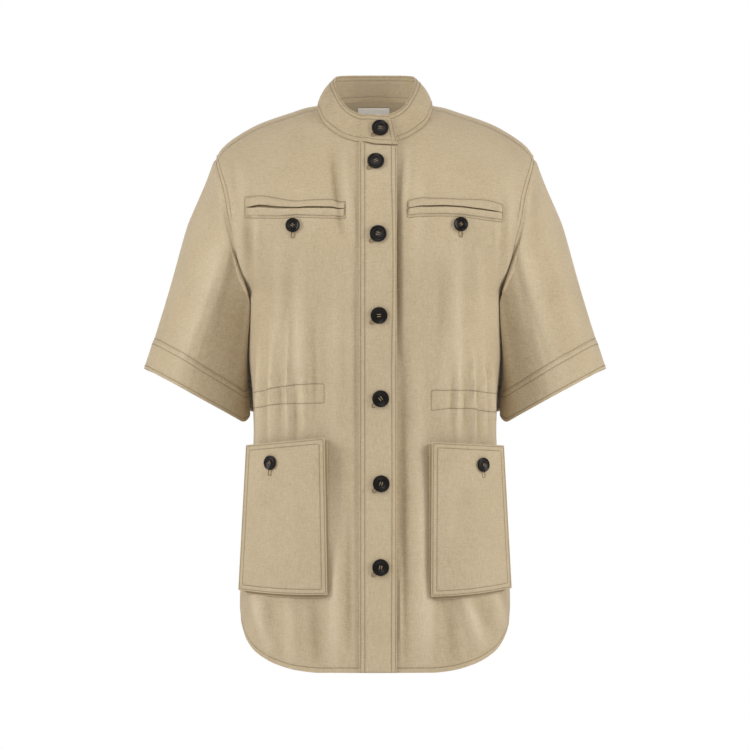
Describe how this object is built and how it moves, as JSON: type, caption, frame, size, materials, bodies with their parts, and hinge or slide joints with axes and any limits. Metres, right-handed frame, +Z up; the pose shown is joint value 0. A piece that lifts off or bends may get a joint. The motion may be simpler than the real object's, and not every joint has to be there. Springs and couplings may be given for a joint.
{
  "type": "safari jacket",
  "caption": "Half-sleeved safari jacket in khaki cloth with stand collar, button placket, welted chest pockets and gusseted hip pockets, filled out as worn.",
  "frame": {"origin": "middle of the neck opening, level with the points where the shoulder seams meet the collar", "axes": "+X to the wearer's left, -Y out of the front, +Z up from hem to collar"},
  "size_m": [0.6006, 0.2515, 0.7765],
  "materials": {
    "cloth": "fine khaki twill with a soft sheen, twin rows of topstitching along its edges",
    "button": "black-brown horn-like resin, polished, with a raised rim and four holes",
    "label": "blank woven label tape, off-white, slightly shiny"
  },
  "bodies": {
    "root": {"back": "cloth", "front_right": "cloth", "front_left": "cloth", "placket": "cloth", "collar": "cloth", "label": "label", "sleeve_left": "cloth", "sleeve_right": "cloth", "cuff_left": "cloth", "cuff_right": "cloth", "chest_welt_upper_right": "cloth", "chest_welt_lower_right": "cloth", "chest_welt_upper_left": "cloth", "chest_welt_lower_left": "cloth", "pocket_front_right": "cloth", "pocket_front_left": "cloth", "pocket_gusset_right": "cloth", "pocket_gusset_left": "cloth", "button_collar": "button", "button_front_1": "button", "button_front_2": "button", "button_front_3": "button", "button_front_4": "button", "button_front_5": "button", "button_front_6": "button", "button_chest_right": "button", "button_chest_left": "button", "button_pocket_right": "button", "button_pocket_left": "button"}
  },
  "joints": []
}
